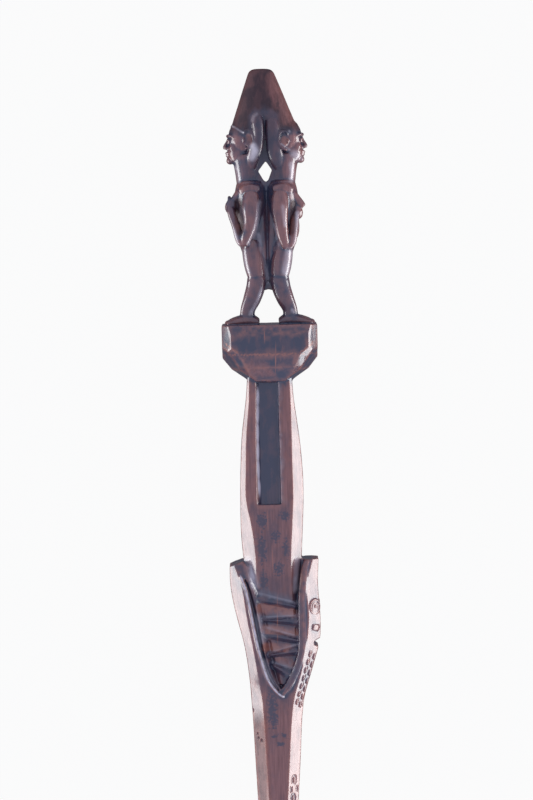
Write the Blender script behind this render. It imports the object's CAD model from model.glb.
# %% [markdown]
# A carved wooden mace, polished dark by handling: two figures stand back to back under one tall cap, on a
# bowl cut in flat facets, above a shaft that a crocodile holds in its jaws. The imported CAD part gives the
# true size and the place that it lies in. This lesson puts a finer carving in its place, in wood with an
# old polish.

# %% Loading the frame
import math
from collections import namedtuple

import bmesh
import bpy
import numpy as np
from mathutils import Matrix, Vector, kdtree, noise


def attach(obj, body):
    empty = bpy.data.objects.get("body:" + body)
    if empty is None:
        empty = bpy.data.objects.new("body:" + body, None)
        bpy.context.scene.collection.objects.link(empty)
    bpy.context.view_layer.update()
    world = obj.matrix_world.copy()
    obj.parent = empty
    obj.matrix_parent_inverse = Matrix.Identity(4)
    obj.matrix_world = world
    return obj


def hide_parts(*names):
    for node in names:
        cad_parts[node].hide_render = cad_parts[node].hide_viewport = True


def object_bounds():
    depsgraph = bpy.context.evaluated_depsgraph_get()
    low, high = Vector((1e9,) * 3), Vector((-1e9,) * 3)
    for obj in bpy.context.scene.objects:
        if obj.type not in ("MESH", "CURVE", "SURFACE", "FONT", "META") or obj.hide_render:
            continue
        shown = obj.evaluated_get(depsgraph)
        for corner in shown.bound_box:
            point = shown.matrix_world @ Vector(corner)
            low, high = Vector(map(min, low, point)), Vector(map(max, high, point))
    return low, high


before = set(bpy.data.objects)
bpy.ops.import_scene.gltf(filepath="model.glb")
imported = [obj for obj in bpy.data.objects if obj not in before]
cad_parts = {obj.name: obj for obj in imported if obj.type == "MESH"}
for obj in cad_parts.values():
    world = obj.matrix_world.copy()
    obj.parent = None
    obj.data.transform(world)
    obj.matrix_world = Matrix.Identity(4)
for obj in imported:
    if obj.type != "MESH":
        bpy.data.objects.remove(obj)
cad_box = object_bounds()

print("CAD box", [round(edge, 4) for corner in cad_box for edge in corner])

# %% [markdown]
# The carver thinks of the mace standing up, so every size here is in millimetres on the standing mace: y
# runs up its length from the bowl's rim, x to the right and z to the front. Only at the end is the finished
# mesh laid down into the frame, by the same turn that lays the CAD part on the two flat spots at its back.

# %% From the standing mace to the lying one
MM = 0.001
BOWL_REST = (-10, 24.4)
BUTT_REST = (-475, 10.1)
ALONG = 157.78
PITCH = math.atan2(BOWL_REST[1] - BUTT_REST[1], BOWL_REST[0] - BUTT_REST[0])
LAID_DOWN = (
    Matrix.Scale(MM, 4)
    @ Matrix.Translation((0, ALONG, 0))
    @ Matrix.Rotation(PITCH, 4, "X")
    @ Matrix.Translation((0, -BOWL_REST[0], BOWL_REST[1]))
)
print("The mace lies", round(math.degrees(PITCH), 2), "degrees nose up")

# %% [markdown]
# Nearly every form of the carving is a swelling bar: an arm, a neck, a lip, a tooth. Each starts as a flat
# grid that is rolled up into a tube, ring after ring, and closed at both ends. One helper does the rolling,
# and the others say where the rings go.


# %% Rolling a grid into a closed form
def finished(bm, name):
    """The worked form as a mesh, with all its faces turned outwards."""
    bmesh.ops.recalc_face_normals(bm, faces=bm.faces)
    mesh = bpy.data.meshes.new(name)
    bm.to_mesh(mesh)
    bm.free()
    return mesh


def rolled(name, rings, sides, place):
    """place(ring, side) gives where each corner of the tube goes."""
    bm = bmesh.new()
    bmesh.ops.create_grid(bm, x_segments=rings - 1, y_segments=sides, size=0.5)
    for v in bm.verts:
        ring = round((v.co.x + 0.5) * (rings - 1))
        side = round((v.co.y + 0.5) * sides) % sides
        v.co = place(ring, side)
    bmesh.ops.remove_doubles(bm, verts=bm.verts, dist=1e-4)
    bmesh.ops.holes_fill(bm, edges=bm.edges, sides=0)
    return finished(bm, name)


def along(values, t):
    """The value at t, from 0 to 1, on a smooth curve through a list of numbers or places."""
    last = len(values) - 1
    i = min(int(t * last), last - 1)
    f = t * last - i
    before, here, there, after = (values[min(max(k, 0), last)] for k in range(i - 1, i + 3))
    leaving, arriving = (there - before) / 2, (after - here) / 2
    ease = f * f * (3 - 2 * f)
    return here * (1 - ease) + there * ease + leaving * (f * (1 - f) ** 2) - arriving * (f * f * (1 - f))


FRONT = Vector((0, 0, 1))


def limb(name, through, across, deep, sides=20, steps=18, bluntness=5, facing=FRONT):
    """A rounded form along a curve: across is its half width seen from the front, deep its half depth."""
    path = [Vector(p) for p in through]

    def place(ring, side):
        t = 0.5 - 0.5 * math.cos(math.pi * ring / steps)
        rounding = max(1 - abs(2 * t - 1) ** bluntness, 0.0004) ** (1 / bluntness)
        tangent = (along(path, min(t + 0.01, 1)) - along(path, max(t - 0.01, 0))).normalized()
        front = (facing - tangent * facing.dot(tangent)).normalized()
        angle = 2 * math.pi * side / sides
        return (
            along(path, t)
            + front.cross(tangent) * (math.sin(angle) * along(across, t) * rounding)
            + front * (math.cos(angle) * along(deep, t) * rounding)
        )

    return rolled(name, steps + 1, sides, place)


def ball(name, centre, half, turn=0.0, tilt=0.0):
    """An egg-shaped form, turned about the line to the front and tilted about the length."""
    bm = bmesh.new()
    shape = (
        Matrix.Translation(centre)
        @ Matrix.Rotation(tilt, 4, "Y")
        @ Matrix.Rotation(turn, 4, "Z")
        @ Matrix.Diagonal((*half, 1))
    )
    bmesh.ops.create_icosphere(bm, subdivisions=3, radius=1, matrix=shape)
    return finished(bm, name)


def block(name, outline, low, high):
    """A straight-sided block seen from the front."""
    bm = bmesh.new()
    face = bm.faces.new([bm.verts.new((x, y, low)) for x, y in outline])
    grown = bmesh.ops.extrude_face_region(bm, geom=[face])
    lifted = [v for v in grown["geom"] if isinstance(v, bmesh.types.BMVert)]
    bmesh.ops.translate(bm, verts=lifted, vec=(0, 0, high - low))
    return finished(bm, name)


# %% [markdown]
# Joining and cutting need objects with modifiers. Forms that only overlap are put together in one mesh and
# left so, because the remesh near the end makes one skin of them. Hollows are cut with a Boolean before
# that.


# %% Joining and cutting
def together(name, meshes):
    """One mesh that holds all of them."""
    bm = bmesh.new()
    for mesh in meshes:
        bm.from_mesh(mesh)
        bpy.data.meshes.remove(mesh)
    mesh = bpy.data.meshes.new(name)
    bm.to_mesh(mesh)
    bm.free()
    return mesh


def shown(name, mesh):
    obj = bpy.data.objects.new(name, mesh)
    bpy.context.scene.collection.objects.link(obj)
    return obj


def applied(obj):
    """The object's mesh with its modifiers worked in. The object itself is put away."""
    bpy.context.view_layer.update()
    mesh = bpy.data.meshes.new_from_object(obj.evaluated_get(bpy.context.evaluated_depsgraph_get()))
    bpy.data.objects.remove(obj)
    return mesh


def combined(mesh, others, how):
    """The mesh after one Boolean with each of the others."""
    obj = shown("worked", mesh)
    for other in others:
        tool = shown("tool", other)
        step = obj.modifiers.new("cut", "BOOLEAN")
        step.operation, step.solver, step.object = how, "MANIFOLD", tool
        obj = shown("worked", applied(obj))
        bpy.data.objects.remove(tool)
    return applied(obj)


def front_and_back(make):
    return [form for depth in (1, -1) for form in make(depth)]


# %% [markdown]
# The cap is one tall cone over both heads, wider than it is deep, with a flat-rounded top. Its brim dips
# towards the front and the back, where an arch is hollowed out for the hair, and ends at the sides in a
# fine raised line. Rings of the same rolled grid give the cone, egg-shaped cutters the arches, and thin
# limbs the line.

# %% The cap
CAP_TOP = 152.4
CAP_BRIM = 119
CAP_TOP_HALF = 6.7
CAP_BRIM_HALF = 19.2
CAP_DEPTH_SHARE = 0.7
CAP_SIDES = 64
CAP_LEVELS = [0, 0.15, 0.5, 1.2, 2.4, 5, 8, 12, 16, 20, 24, 28, 31, 33.4, 34.4, 35.2, 42.4]
CAP_SHARES = [0.05, 0.6, 0.8, 0.93, 1, 1.01, 1.01, 1.01, 1.01, 1.005, 1, 1, 1, 1, 0.98, 0.92, 0.85]
CAP_MIDDLE_TOP = -1.6
CAP_MIDDLE_BRIM = -0.5
BRIM_DIP = 6.5
DIP_FROM = 20
DIP_RUN = 15
NICHE = {"at": (-1.2, 115.6, 15), "half": (8.2, 12.2, 5.6)}
BRIM_SPAN = 0.31
BRIM_POINTS = 17
BRIM_HALF = 0.7
BRIM_DROP = 0.6
BRIM_OUT = CAP_BRIM_HALF + 0.1


def dipped(angle):
    """How far the brim hangs down at an angle round the cap, most of all at the front and the back."""
    return BRIM_DIP * math.cos(angle) ** 2


def cap_corner(ring, side):
    level = CAP_LEVELS[ring]
    down = min(level / (CAP_TOP - CAP_BRIM), 1)
    half = (CAP_TOP_HALF + (CAP_BRIM_HALF - CAP_TOP_HALF) * down) * CAP_SHARES[ring]
    angle = 2 * math.pi * side / CAP_SIDES
    dip = dipped(angle) * max(level - DIP_FROM, 0) / DIP_RUN if level < CAP_LEVELS[-1] else 0
    return Vector((
        CAP_MIDDLE_TOP + (CAP_MIDDLE_BRIM - CAP_MIDDLE_TOP) * down + half * math.sin(angle),
        CAP_TOP - level - dip,
        half * CAP_DEPTH_SHARE * math.cos(angle),
    ))


def brim(side):
    """The raised line round one side of the cap, a share of half a turn to the front and to the back."""
    places = []
    for share in np.linspace(-1, 1, BRIM_POINTS):
        angle = side * math.pi * (0.5 + BRIM_SPAN * share)
        places.append((
            CAP_MIDDLE_BRIM + BRIM_OUT * math.sin(angle),
            CAP_BRIM - BRIM_DROP - dipped(angle),
            BRIM_OUT * CAP_DEPTH_SHARE * math.cos(angle),
        ))
    halves = [BRIM_HALF] * BRIM_POINTS
    return limb("brim", places, halves, halves, sides=8, steps=64, bluntness=20, facing=Vector((0, 1, 0)))


x, y, z = NICHE["at"]
niches = [ball("niche", (x, y, depth * z), NICHE["half"]) for depth in (1, -1)]
cap = combined(rolled("cap", len(CAP_LEVELS), CAP_SIDES, cap_corner), niches, "DIFFERENCE")
print("Cap of", len(cap.polygons), "faces")

# %% [markdown]
# An ear is a bent rim round a flat bed, with a small flap in front. Each head has one on the front of the
# mace and one on its back. The rim is a limb through named places round the middle of the ear, so that one
# list does for all four ears.

# %% The ears
EAR_AT = {-1: (-10.2, 110.6, 10.4), 1: (11.2, 109.4, 10.4)}
EAR_RIM = [(2.4, 3.2, 0.2), (1.2, 5.4, 0.7), (-1.6, 5.2, 1.1), (-3.2, 1.6, 1.2), (-2.8, -2.2, 0.9),
           (-0.4, -5, 0.4), (2, -5.8, 0)]
EAR_ACROSS = [0.6, 0.8, 0.8, 0.8, 0.8, 0.8, 0.7]
EAR_DEEP = [0.8, 0.9, 0.9, 0.9, 0.9, 0.8, 0.6]


def ear(side, depth):
    x, y, z = EAR_AT[side]
    through = [(x + side * px, y + py, depth * (z + pz)) for px, py, pz in EAR_RIM]
    return [
        limb("ear_rim", through, EAR_ACROSS, EAR_DEEP, sides=12, steps=26),
        ball("ear_bed", (x - side * 0.2, y, depth * (z - 0.6)), (2.6, 4.6, 1)),
        ball("ear_flap", (x + side * 2.4, y - 0.6, depth * (z + 0.4)), (0.8, 1.5, 0.8)),
    ]


print("Ear rim through", len(EAR_RIM), "places")

# %% [markdown]
# The two faces are plain and calm, on the proportions that drawing books give: eyes half way, the nose a
# third and the mouth between nose and chin. Half a face holds what comes in pairs: an eye between two lids,
# a brow, a cheek and a nostril. Soft forms like these flow into one another in the remesh.

# %% Half a face
HEAD_REACH = 1.05
UPPER_LID = [(20.9, 109.4, 1.9), (21.6, 110.5, 3.4), (21.2, 110.4, 5), (19.9, 109.5, 6.2)]
LOWER_LID = [(20.9, 109.2, 1.9), (21.5, 108.2, 3.4), (21, 108.2, 5), (19.9, 109.2, 6.2)]
BROW = [(21.2, 112.2, 0.8), (21.3, 112.9, 3.2), (19.8, 112.8, 5.8), (17.6, 111.6, 7.8)]


def half_face(side, depth):
    def out(x, y, z):
        return (side * x * HEAD_REACH, y, depth * z)

    return [
        ball("eye", out(20.1, 109.3, 4), (1.5, 1.15, 1.9)),
        limb("upper_lid", [out(*p) for p in UPPER_LID], [0.42] * 4, [0.5] * 4, sides=8, steps=12),
        limb("lower_lid", [out(*p) for p in LOWER_LID], [0.32] * 4, [0.4] * 4, sides=8, steps=12),
        limb("brow", [out(*p) for p in BROW], [0.9, 0.9, 0.8, 0.5], [1, 1, 0.9, 0.6], sides=12, steps=14),
        ball("cheek", out(17.6, 105.6, 4.8), (3, 3.6, 3)),
        ball("nostril", out(22.2, 105.3, 1.5), (1, 0.9, 0.95)),
        *ear(side, depth),
    ]


print("Eye, lids, brow, cheek and nostril set for heads", HEAD_REACH, "times as wide as drawn")

# %% [markdown]
# Each head is an egg for the skull and one for the jaw, both turned a little. The chin, the nose and two
# bow-shaped lips are laid on the middle, and half a face goes on either side of it.

# %% The heads
HEAD_TURN = 0.1
NOSE = [(20.6, 112, 0), (21.6, 109.2, 0), (23, 106.2, 0), (22.6, 104.9, 0)]
LIP_THICKNESS = [0.35, 0.75, 0.8, 0.75, 0.35]


def head_lip(side, x, y, half):
    """A lip is a bow from side to side: x and y are of its middle and half is how far it reaches."""
    bow = [(x - 1, y, -half), (x, y + 0.1, -half / 2), (x + 0.2, y, 0), (x, y + 0.1, half / 2),
           (x - 1, y, half)]
    places = [(side * px * HEAD_REACH, py, pz) for px, py, pz in bow]
    return limb("lip", places, LIP_THICKNESS, LIP_THICKNESS, sides=10, steps=18,
                facing=Vector((side, 0, 0)))


def head(side):
    def out(x, y, z):
        return (side * x * HEAD_REACH, y, z)

    return [
        ball("skull", out(12.2, 111.5, 0), (9.3, 12, 10.4), side * HEAD_TURN),
        ball("jaw", out(14.8, 103.8, 0), (7.2, 9.2, 7.8), side * HEAD_TURN),
        ball("chin", out(20, 98, 0), (2.4, 2.3, 3.4)),
        limb("nose", [out(*p) for p in NOSE], [0.8, 0.9, 1.2, 0.8], [0.9, 1, 1.35, 1.2],
             sides=14, steps=16),
        head_lip(side, 21.9, 102.5, 2.7),
        head_lip(side, 21.6, 100.9, 2.4),
        *half_face(side, 1),
        *half_face(side, -1),
    ]


heads = head(-1) + head(1)
print("Heads from", len(heads), "forms")

# %% [markdown]
# From under the cap the hair hangs between the heads in two rolls, on the front and on the back, and fills
# the space between the skulls. The rolls part above a diamond-shaped hole between the two necks, which is
# cut right through once the bodies are there too.

# %% The hair and the necks
ROLLS = [
    {
        "through": [(-4.6, 126.2, 9.4), (-4.3, 121, 11.4), (-3.7, 112.5, 11), (-5.4, 105, 9.8),
                    (-7.8, 98.6, 7.4), (-10, 89, 3)],
        "across": [2.6, 3.8, 3.2, 4, 4, 4.2],
    },
    {
        "through": [(2.6, 124.6, 8.4), (4.4, 119, 10.2), (5, 111, 9.8), (5.4, 104, 8.6),
                    (7.2, 97.6, 6.8), (9.6, 89, 2.6)],
        "across": [3.2, 4.4, 4.5, 4.6, 4.6, 4.4],
    },
]
ROLL_DEEP = [2.2, 3.2, 3, 3.3, 3.2, 3.6]


def rolls(depth):
    return [
        limb("hair_roll", [(x, y, depth * z) for x, y, z in roll["through"]], roll["across"], ROLL_DEEP,
             sides=24, steps=32, bluntness=3)
        for roll in ROLLS
    ]


DIAMOND = [(0.1, 97.4), (-4.5, 91.4), (-1.4, 86), (0, 85), (1.4, 86), (3.7, 92)]
hair = [*front_and_back(rolls), block("hair_core", [(-9, 80), (9, 80), (9, 122), (-9, 122)], -6, 6)]
necks = [
    limb("neck", [(side * 11.6, 102, 0), (side * 10.6, 92, 0), (side * 9.6, 80.5, 0)],
         [8.8, 7.8, 7.5], [9.2, 7.9, 8.4], sides=28, steps=16, bluntness=8)
    for side in (-1, 1)
]
hole = block("hole", DIAMOND, -30, 30)
upper_figures = together("upper_figures", [cap, brim(-1), brim(1), *heads, *hair, *necks])
print("Heads, hair and necks from", len(upper_figures.polygons), "faces")

# %% [markdown]
# The bodies are mirrored but not equal, as the carver left them: arms bent up, hands to the chest, knees a
# little bent, long flat feet that point outwards. First come the places that differ between the two
# figures, as they would be on the right one.

# %% The two figures
FIGURES = [
    {
        "side": -1,
        "arm": [(8.9, 79), (9.4, 70), (9.6, 61), (12.3, 52.6), (14, 47.2)],
        "forearm": [(14.2, 47.4), (16.4, 51.4), (18.4, 59), (20.8, 66), (22, 71)],
        "hand": (21.6, 71.4),
        "breast": [(15, 78.5), (20.5, 73)],
        "toes": 26.6,
    },
    {
        "side": 1,
        "arm": [(8.4, 79), (7.8, 70), (8.2, 61), (9.4, 52.5), (11.4, 45)],
        "forearm": [(11.8, 45.2), (14.6, 49), (15.8, 56), (16.6, 62), (18.4, 67.6)],
        "hand": (18.4, 67.4),
        "breast": [(13.8, 78.6), (22.2, 69.6)],
        "toes": 27.4,
    },
]
print("Figures with", len(FIGURES[0]) - 1, "differing measures each")

# %% [markdown]
# A figure's trunk is one limb that the front and the back share. Shoulder, arm, forearm, palm and breast
# are limbs and eggs of their own on each of the two, and the four fingers bend round the palm to the chest.

# %% Trunks and arms
TRUNK = [(8.6, 86), (9.3, 76), (9.4, 64), (8.6, 52), (7.4, 43), (6.2, 30)]
ARM_FORWARD = (9.6, 13, 14.6, 14.4, 13.2)
FOREARM_FORWARD = (13, 12.6, 11.4, 9.4, 7)
BREAST_FORWARD = (5, 5.4)
FINGERS = 4
FINGER_SPACING = 1.6


def trunk(side):
    return limb("trunk", [(side * x, y, 0) for x, y in TRUNK], [8.8, 9.8, 9.8, 9, 7.6, 5.6],
                [11, 12.6, 10.4, 9.6, 12, 9], sides=36, steps=36, bluntness=9)


def arms(figure, depth):
    side = figure["side"]
    hand_x, hand_y = figure["hand"]

    def out(place, z):
        return (side * place[0], place[1], depth * z)

    def onto(places, forward):
        return [out(p, z) for p, z in zip(places, forward)]

    forms = [
        limb("shoulder", [out((4.5, 80.5), 7), out((10, 81), 8.4), out((15, 79.5), 6)],
             [3.6, 3.8, 3.4], [4.4, 4.8, 4], sides=20, steps=14),
        limb("upper_arm", onto(figure["arm"], ARM_FORWARD), [5.2, 5.2, 4.2, 3.4, 2.5],
             [4.8, 4.2, 3.6, 3.2, 2.8], sides=24, steps=26),
        limb("forearm", onto(figure["forearm"], FOREARM_FORWARD), [2.6, 2.8, 2.6, 2.5, 2.2],
             [2.8, 2.7, 2.5, 2.3, 2.2], sides=20, steps=24),
        ball("palm", out((hand_x - 0.6, hand_y - 0.6), 5.6), (3.8, 4.8, 3.2), side * 0.3),
        ball("side", out((13.6, 62), 1.5), (5.6, 13, 6.4), side * 0.16),
        limb("breast", onto(figure["breast"], BREAST_FORWARD), [3.6, 2], [4, 2.2], sides=20, steps=14),
    ]
    for i in range(FINGERS):
        knuckle_y = hand_y + 1.6 - i * FINGER_SPACING
        tip_y = hand_y + 4.6 - i * FINGER_SPACING
        through = [out((hand_x + 0.6, knuckle_y), 7), out((hand_x + 0.8, tip_y), 5.4),
                   out((hand_x + 0.2, tip_y + 0.4), 2.4)]
        forms.append(limb("finger", through, [0.9, 0.8, 0.7], [0.9, 0.9, 0.8], sides=10, steps=10))
    return forms


print("Arm in", len(ARM_FORWARD), "places, forearm in", len(FOREARM_FORWARD))

# %% [markdown]
# A leg is a thigh, a calf that bends outwards below the knee, and a long low foot. The toes are small limbs
# side by side at its end, and the second one reaches furthest.

# %% Legs and feet
THIGH = [(9, 50, 5.6), (9.2, 44, 6.8), (8, 36.5, 7.6), (6.6, 27.8, 7.8)]
CALF = [(6.4, 33, 5.8), (6.8, 27, 7.2), (7.8, 21.4, 7.8), (10, 15, 8.2), (12.6, 8.6, 8), (13, 1, 8)]
FOOT = [(5.8, 1.2, 8), (12, 2.4, 8.2), (18, 2, 8.8)]
TOES = 5
TOE_SPACING = 1.75
FIRST_TOE = 5.8


def legs(figure, depth):
    side = figure["side"]

    def out(x, y, z):
        return (side * x, y, depth * z)

    forms = [
        limb("thigh", [out(*p) for p in THIGH], [5.4, 6, 6.3, 5.6], [5.6, 6.2, 6.1, 5.2],
             sides=28, steps=22, bluntness=7),
        limb("calf", [out(*p) for p in CALF], [5, 5.7, 5.6, 5.2, 4.4, 4.8], [4.4, 5.4, 5.1, 4.4, 3.7, 4],
             sides=28, steps=28, bluntness=7),
        limb("foot", [*(out(*p) for p in FOOT), out(figure["toes"] - 2, 1, 9.4)], [2.4, 3.8, 3.1, 1.9],
             [3.6, 4.2, 4.7, 4.6], sides=24, steps=20, bluntness=4),
    ]
    for i in range(TOES):
        z = FIRST_TOE + i * TOE_SPACING
        reach = figure["toes"] - 0.45 * abs(i - 1)
        forms.append(limb("toe", [out(reach - 5, 1.5, z), out(reach - 2, 1.4, z), out(reach, 0.5, z)],
                          [1, 1.1, 0.9], [0.85, 0.95, 0.8], sides=12, steps=12, bluntness=3))
    return forms


print("Legs with feet of", TOES, "toes")

# %% [markdown]
# Between the two backs the wood is left standing, as a slab with an arch cut out over the bowl and a long
# swelling on either side of the cleft. When all the forms of the figures are together, the diamond is cut
# through them.

# %% The backs
ARCH = [(-4.4, 18.4), (-2.6, 20.2), (0, 20.8), (2.6, 20.2), (4.4, 18.4)]
BACK = [(2.8, 86, 4.6), (3, 66, 5.2), (3.6, 46, 6.6), (3.4, 25, 5.6)]
bodies = []
for figure in FIGURES:
    bodies.append(trunk(figure["side"]))
    for depth in (1, -1):
        bodies += arms(figure, depth) + legs(figure, depth)
bodies.append(block("backs", ARCH + [(4, 86), (-4, 86)], -5, 5))
bodies += [
    limb("back", [(side * x, y, depth * z) for x, y, z in BACK], [2.8, 3, 3.8, 3.6], [2.2, 2.6, 3, 2.4],
         sides=20, steps=26, bluntness=8)
    for side in (-1, 1) for depth in (1, -1)
]
figures = combined(together("figures", [upper_figures, *bodies]), [hole], "DIFFERENCE")
print("Figures from", len(figures.polygons), "faces")

# %% [markdown]
# The bowl is cut like a gem. A block is the size of its rim, and flat cuts take the corners off: two rows
# of facets that lean down towards the shaft, and a chamfer under the rim on the front and on the back. A
# bisect that clears what lies outside a plane and closes the cut is the same act as the carver's flat
# chisel stroke.

# %% The bowl
PLATFORM = {"width": 57, "depth": 49.8, "height": 33.8}
# each cut: angle round the length, lean towards the shaft, distance from the middle line, height there
CORNER_CUTS = [(53, 0, 33.3, 0), (127, 0, 33.3, 0)]
CHAMFER_CUTS = [(0, -22, 21.3, 0), (180, -22, 21.3, 0)]
FACET_CUTS = [(0, 26, 22.3, -18), (34, 34, 27.6, -13.6), (72, 37, 25.7, -13.4),
              (0, 38, 16.3, -26), (34, 39, 19.9, -25), (72, 54, 12.9, -27)]


def bowl_form():
    bm = bmesh.new()
    size = Matrix.Diagonal((PLATFORM["width"], PLATFORM["height"], PLATFORM["depth"], 1))
    bmesh.ops.create_cube(bm, size=1, matrix=Matrix.Translation((0, -PLATFORM["height"] / 2, 0)) @ size)
    cuts = CHAMFER_CUTS + [(-a, lean, far, y) for a, lean, far, y in CORNER_CUTS] + CORNER_CUTS
    for around, lean, far, y in FACET_CUTS:
        cuts += [(a, lean, far, y) for a in {around, -around, 180 - around, around - 180}]
    for around, lean, far, y in cuts:
        a, b = math.radians(around), math.radians(lean)
        outwards = Vector((math.cos(b) * math.sin(a), -math.sin(b), math.cos(b) * math.cos(a)))
        point = outwards * far + Vector((0, y, 0))
        everything = [*bm.verts, *bm.edges, *bm.faces]
        bmesh.ops.bisect_plane(bm, geom=everything, plane_co=point, plane_no=outwards, clear_outer=True)
        bmesh.ops.holes_fill(bm, edges=bm.edges, sides=0)
    return finished(bm, "bowl")


bowl = bowl_form()
print("Bowl with", len(bowl.polygons), "facets")

# %% [markdown]
# The shaft and the crocodile's jaws are long bars with eight sides. Their front and back are flat, and the
# edges are cut off at about 45 degrees, which gives the pale bevels beside the dark front. A list of
# stations says how wide the bar is at each height, and a smooth curve runs through them.

# %% The shaft
# each station: height, left side, right side, left edge of the face, right edge of the face, depth
UPPER_SHAFT = [
    (-30, -13.8, 12.6, -12.6, 10.8, 13.2), (-45, -15.1, 13.6, -13, 11.4, 14),
    (-67, -18, 16.3, -15.1, 11.5, 15.2), (-87, -19.2, 17.9, -15.8, 11.6, 16),
    (-104, -19.7, 18.1, -16, 11.6, 16.6), (-122, -19.8, 17.2, -12.9, 10.6, 16.3),
    (-138, -18.9, 16.3, -11.2, 9.6, 15.8), (-160, -15.6, 15.4, -10.4, 9.8, 15),
    (-175, -10, 14.4, -6, 10.6, 14.4), (-196, -5, 14, -2, 11.2, 13.4),
    (-216, 0, 9, 2.4, 7, 11.8),
]
LOWER_SHAFT = [
    (-141, -27, 26.2, -25, 22.4, 12.4), (-157, -26.8, 25.6, -19.8, 18.6, 17.2),
    (-175, -23.5, 26.6, -17.2, 19.5, 18.2), (-190, -19.8, 25.9, -14.6, 18, 17.8),
    (-206, -17.4, 21.4, -12, 15, 16.2), (-227, -15.8, 15.6, -9, 9.2, 13.6),
    (-262, -14.4, 12.8, -7.4, 6.1, 12.4), (-300, -13, 10.6, -6.2, 4, 11.8),
    (-390, -11.4, 10, -5.2, 3.9, 10.8), (-478, -11.2, 10.2, -5, 4.2, 10.6),
    (-485, -10.2, 9.4, -4.4, 3.6, 9.8), (-487.6, -7.6, 7, -3.2, 2.6, 7.4),
]
ROW_SPACING = 3
Row = namedtuple("Row", "left right face_left face_right depth")


def row_at(stations, y):
    """The bar's section at one height, on a smooth curve through the stations."""
    i = 0
    while i < len(stations) - 2 and y < stations[i + 1][0]:
        i += 1
    rows = [np.array(stations[min(max(k, 0), len(stations) - 1)], float) for k in range(i - 1, i + 3)]
    above, here, there, below = rows
    span = there[0] - here[0]
    t = (y - here[0]) / span
    slopes = [(b - a) / (b[0] - a[0] or 1) * span for a, b in ((above, there), (here, below))]
    ease = t * t * (3 - 2 * t)
    row = here + (there - here) * ease + slopes[0] * t * (1 - t) ** 2 - slopes[1] * t * t * (1 - t)
    return Row(*row[1:])


def bar(name, stations):
    """A bar of eight sides through its stations."""
    top, bottom = stations[0][0], stations[-1][0]
    levels = np.linspace(top, bottom, round((top - bottom) / ROW_SPACING) + 1)

    def place(ring, side):
        row = row_at(stations, levels[ring])
        low_right = row.depth - (row.right - row.face_right)
        low_left = row.depth - (row.face_left - row.left)
        corners = [(row.face_right, row.depth), (row.right, low_right), (row.right, -low_right),
                   (row.face_right, -row.depth), (row.face_left, -row.depth), (row.left, -low_left),
                   (row.left, low_left), (row.face_left, row.depth)]
        return Vector((corners[side][0], levels[ring], corners[side][1]))

    return rolled(name, len(levels), 8, place)


print("Shaft through", len(UPPER_SHAFT), "stations and jaws through", len(LOWER_SHAFT))

# %% [markdown]
# A long groove runs down the front of the shaft from under the bowl. It has a flat floor, a steep right
# wall, a wall on the left that slopes, and a square end. It is cut with a block of the same section.

# %% The groove
ABOVE_WOOD = 20
GROOVE = {"top": -30, "end": -107.5, "left": -6.9, "right": 4.4, "floor": 10.6, "slope": 0.9, "rise": 2.6}


def groove(depth):
    def place(ring, side):
        low = GROOVE["floor"] + GROOVE["rise"] * ring
        section = [(GROOVE["right"] + 0.6, ABOVE_WOOD), (GROOVE["right"], low), (GROOVE["left"], low),
                   (GROOVE["left"] - (ABOVE_WOOD - low) * GROOVE["slope"], ABOVE_WOOD)]
        x, z = section[side]
        return Vector((depth * x, GROOVE["end"] if ring else GROOVE["top"], depth * z))

    return rolled("groove", 2, 4, place)


shaft = combined(bar("shaft", UPPER_SHAFT), [groove(1), groove(-1)], "DIFFERENCE")
collar = limb("collar", [(-0.2, -31, 0), (-0.2, -34.8, 0)], [13.9, 13.6], [14.2, 13.9], sides=48, steps=8,
              bluntness=6)
print("Shaft with its groove", len(shaft.polygons), "faces")

# %% [markdown]
# The jaws open upwards round the shaft like a long V. The mouth is a deep cut with the V's outline:
# straight down to just under the face, and from there with a slanting wall on the left to a flat floor.

# %% The crocodile's mouth
MOUTH_LEFT = [(-17.6, -136), (-16.4, -146), (-14.4, -155), (-11.6, -163), (-10.8, -175), (-8.6, -188),
              (-7, -198), (-4.4, -207), (-1.5, -214.5)]
MOUTH_CORNER = (1.8, -219)
MOUTH_RIGHT = [(3.4, -217.6), (6, -213.5), (9.4, -206), (12.7, -195.7), (13.2, -184), (13.3, -173),
               (14.2, -162), (15.8, -153.9), (17.6, -144), (19, -134)]
MOUTH_TOP = 24
MOUTH_FLOOR = 9.6
MOUTH_END = -216
WALL_RUN = 7.6


def curve(places, count):
    """So many places on a smooth curve through a few."""
    return [along([Vector(p) for p in places], t) for t in np.linspace(0, 1, count)]


def level(y):
    """How far the face of the jaws lies in front at one height."""
    return row_at(LOWER_SHAFT, y).depth


def mouth(depth):
    left = curve(MOUTH_LEFT, 25)
    edge = [*left, Vector(MOUTH_CORNER), *curve(MOUTH_RIGHT, 25)]
    corner = len(left)

    def place(ring, side):
        p = edge[side]
        if ring == 0:
            return Vector((p.x, p.y, depth * MOUTH_TOP))
        if ring == 1:
            return Vector((p.x, p.y, depth * (level(max(p.y, MOUTH_END)) - 0.4)))
        run = WALL_RUN * (1 - (side / corner) ** 2.2) + 0.6 if side <= corner else -0.8
        return Vector((p.x + run, p.y, depth * MOUTH_FLOOR))

    return rolled("mouth", 3, len(edge), place)


print("Mouth", MOUTH_TOP - MOUTH_FLOOR, "mm deep")

# %% [markdown]
# Along the mouth's left edge runs a thin raised lip beside a groove, and its right edge is a broad rounded
# lip with a fine ridge on its crest. All are beads that follow the level of the face as it sinks towards
# the mouth's corner.

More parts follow.
